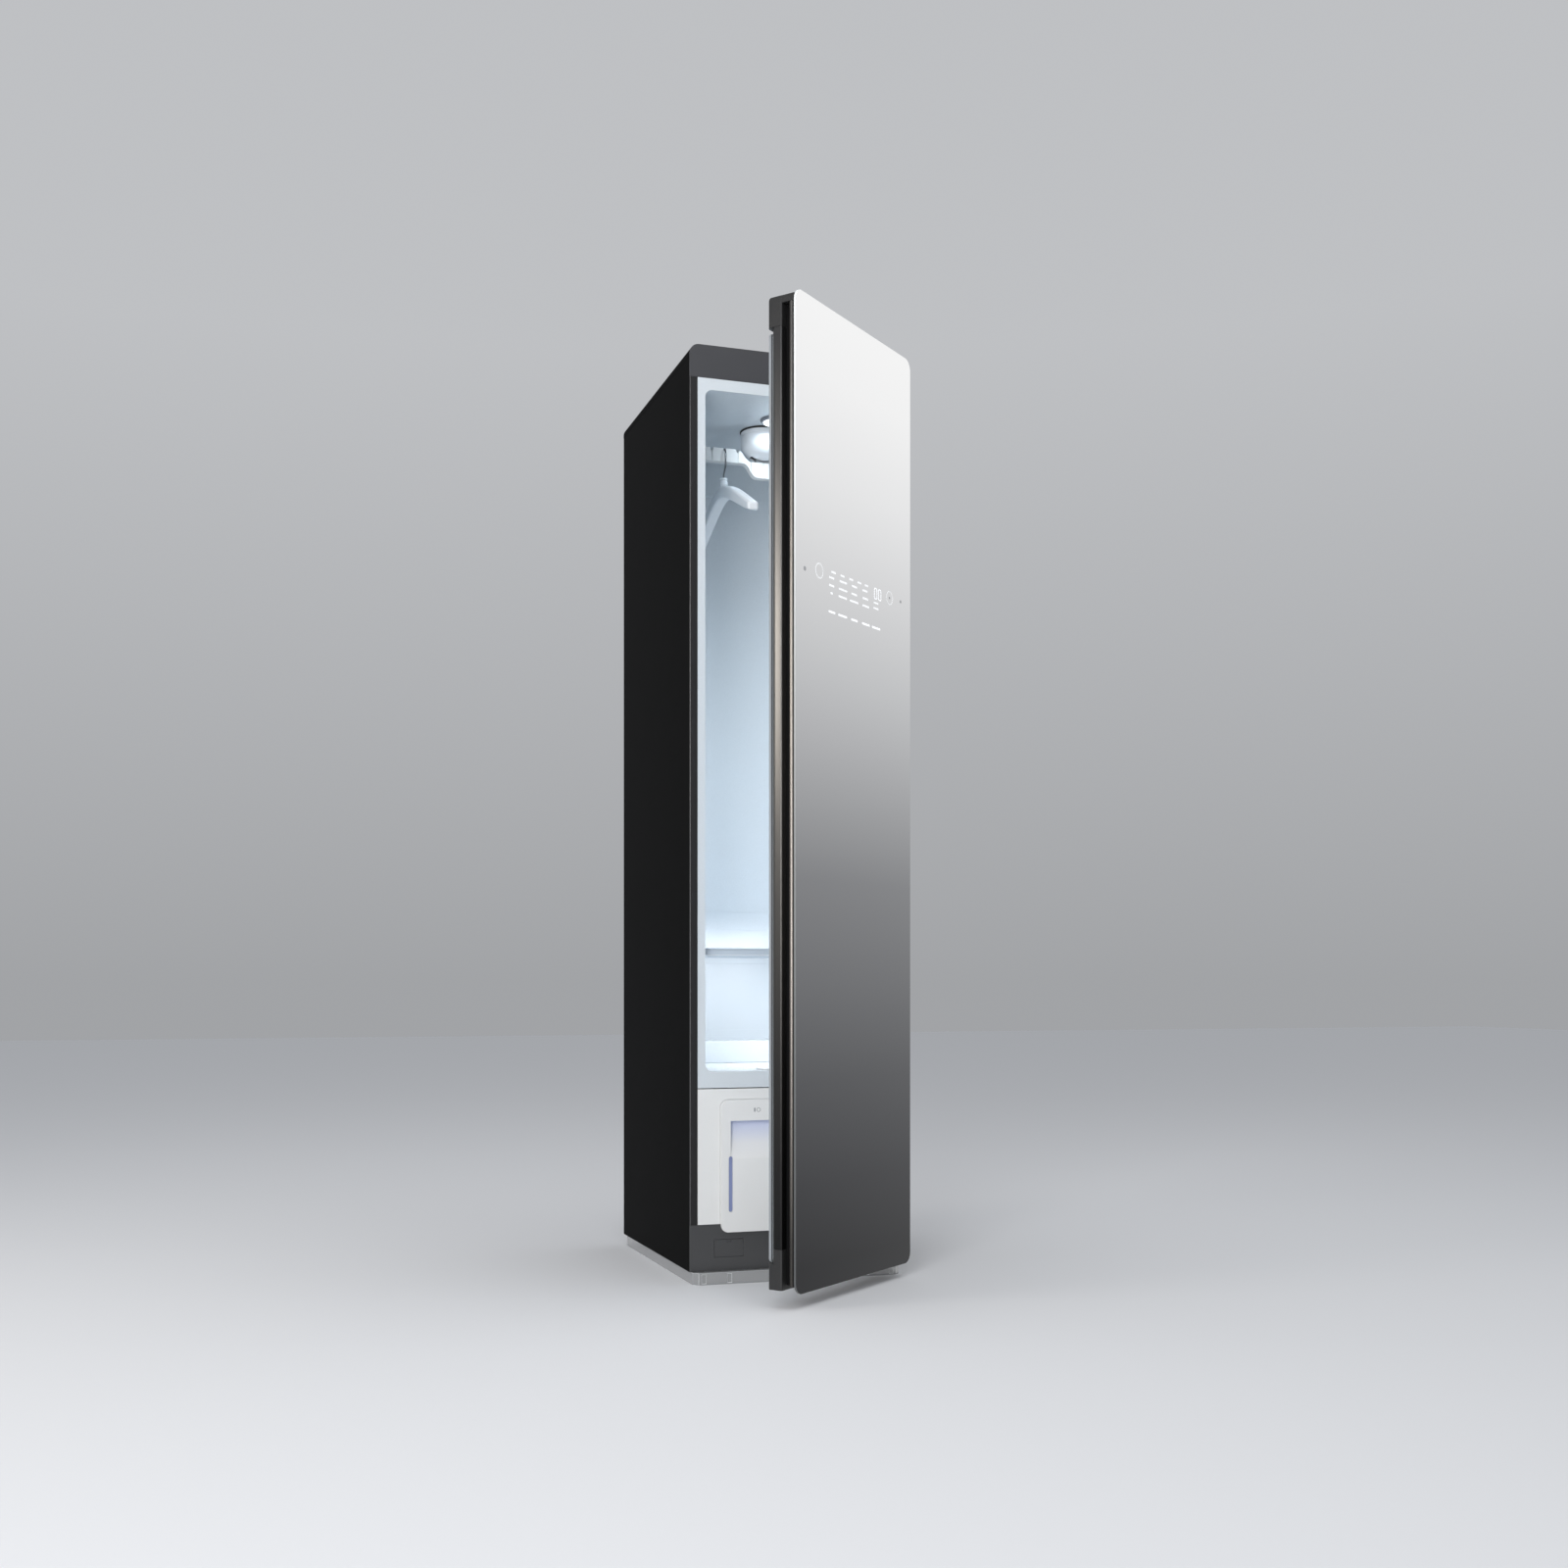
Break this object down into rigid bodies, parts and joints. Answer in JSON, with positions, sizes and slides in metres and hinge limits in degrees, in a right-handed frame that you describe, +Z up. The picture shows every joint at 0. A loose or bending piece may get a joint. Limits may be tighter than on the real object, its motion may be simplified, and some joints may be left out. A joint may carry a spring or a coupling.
{
  "type": "clothes care steam cabinet",
  "caption": "Slim floor-standing clothes care closet with a hinged mirror door, shaker bar, hanger, shelf, lint filter, steam and heat pump parts and pull-out water tanks.",
  "frame": {"origin": "on the floor, at the centre of the cabinet body's footprint (the underside of the plinth)", "axes": "+X to the right as seen from the front, +Y from the front to the back, +Z up; the door hangs on the right and stands ajar"},
  "size_m": [0.4528, 0.855, 1.85],
  "materials": {
    "clear_plastic": "gloss",
    "rubber": "matte",
    "zinc_steel": "satin",
    "black_steel": "satin",
    "dark_trim": "satin",
    "white_plastic": "satin",
    "liner_plastic": "satin",
    "foam": "matte",
    "shelf_grey": "satin",
    "lamp_plastic": "satin",
    "motor_steel": "satin",
    "bright_steel": "polished",
    "grey_plastic": "matte",
    "tub_plastic": "gloss",
    "fin_aluminium": "satin",
    "compressor_black": "satin",
    "copper": "satin",
    "mirror_glass": "polished",
    "black_plastic": "satin",
    "champagne_metal": "satin",
    "foam_black": "matte",
    "satin_metal": "satin",
    "cap_plastic": "satin",
    "gasket_rubber": "satin"
  },
  "bodies": {
    "cabinet": {"plinth": "clear_plastic", "levelling_foot_front_left": "rubber", "levelling_foot_front_right": "rubber", "levelling_foot_rear_left": "rubber", "levelling_foot_rear_right": "rubber", "base_pan": "zinc_steel", "side_panel_left": "black_steel", "side_panel_right": "black_steel", "back_panel": "zinc_steel", "top_cover": "black_steel", "front_trim": "dark_trim", "kick_plate": "dark_trim", "kick_hatch": "dark_trim", "lower_front_panel": "white_plastic", "cabin_liner": "liner_plastic", "insulation": "foam", "shelf": "shelf_grey", "outlet_cover": "liner_plastic", "ceiling_lamp": "lamp_plastic", "drive_dome": "white_plastic", "drive_motor": "motor_steel", "guide_rail": "bright_steel", "tank_bay": "grey_plastic", "air_duct": "grey_plastic", "evaporator": "fin_aluminium", "condenser": "fin_aluminium", "blower_housing": "grey_plastic", "blower_motor": "motor_steel", "machine_shelf": "zinc_steel", "compressor": "compressor_black", "steam_generator": "fin_aluminium", "steam_hose": "rubber", "supply_pump": "grey_plastic", "waste_pump": "grey_plastic", "control_box": "grey_plastic", "refrigerant_pipe": "copper", "hinge_bracket_upper": "bright_steel", "hinge_bracket_lower": "bright_steel"},
    "door": {"door_glass": "mirror_glass", "display_panel": "black_plastic", "door_strip": "champagne_metal", "door_core": "foam_black", "door_frame": "satin_metal", "door_cap_top": "cap_plastic", "door_cap_bottom": "cap_plastic", "door_liner": "liner_plastic", "door_gasket": "gasket_rubber"},
    "crank": {"drive_crank": "bright_steel"},
    "shaker": {"shaker_carriage": "grey_plastic", "shaker_bar": "white_plastic"},
    "hanger": {"hanger_hook": "bright_steel", "hanger_body": "white_plastic"},
    "supply_tank": {"supply_tank_front": "white_plastic", "supply_tank_tub": "tub_plastic", "supply_tank_lid": "white_plastic"},
    "waste_tank": {"waste_tank_front": "white_plastic", "waste_tank_tub": "tub_plastic", "waste_tank_lid": "white_plastic"},
    "filter": {"lint_filter": "white_plastic"},
    "fan": {"blower_fan": "grey_plastic"}
  },
  "joints": [
    {"name": "door_hinge", "type": "hinge", "parent": "cabinet", "child": "door", "pos_m": [0.1925, -0.309, 0.93], "axis": [0, 0, 1], "range_deg": [-38.8, 66.2]},
    {"name": "crank_spin", "type": "hinge", "parent": "cabinet", "child": "crank", "pos_m": [0, -0.053, 1.74], "axis": [0, 0, 1], "continuous": true},
    {"name": "shaker_slide", "type": "slide", "parent": "cabinet", "child": "shaker", "axis": [1, 0, 0], "range_m": [-0.008, 0.008]},
    {"name": "hanger_swing", "type": "hinge", "parent": "shaker", "child": "hanger", "pos_m": [-0.0855, -0.053, 1.7124], "axis": [0, 1, 0], "range_deg": [-10, 10]},
    {"name": "supply_tank_slide", "type": "slide", "parent": "cabinet", "child": "supply_tank", "axis": [0, -1, 0], "range_m": [0, 0.14]},
    {"name": "waste_tank_slide", "type": "slide", "parent": "cabinet", "child": "waste_tank", "axis": [0, -1, 0], "range_m": [0, 0.02]},
    {"name": "filter_lift", "type": "slide", "parent": "cabinet", "child": "filter", "axis": [0, 0, 1], "range_m": [0, 0.06]},
    {"name": "fan_spin", "type": "hinge", "parent": "cabinet", "child": "fan", "pos_m": [0.03, 0.125, 0.29], "axis": [0, 1, 0], "continuous": true}
  ]
}
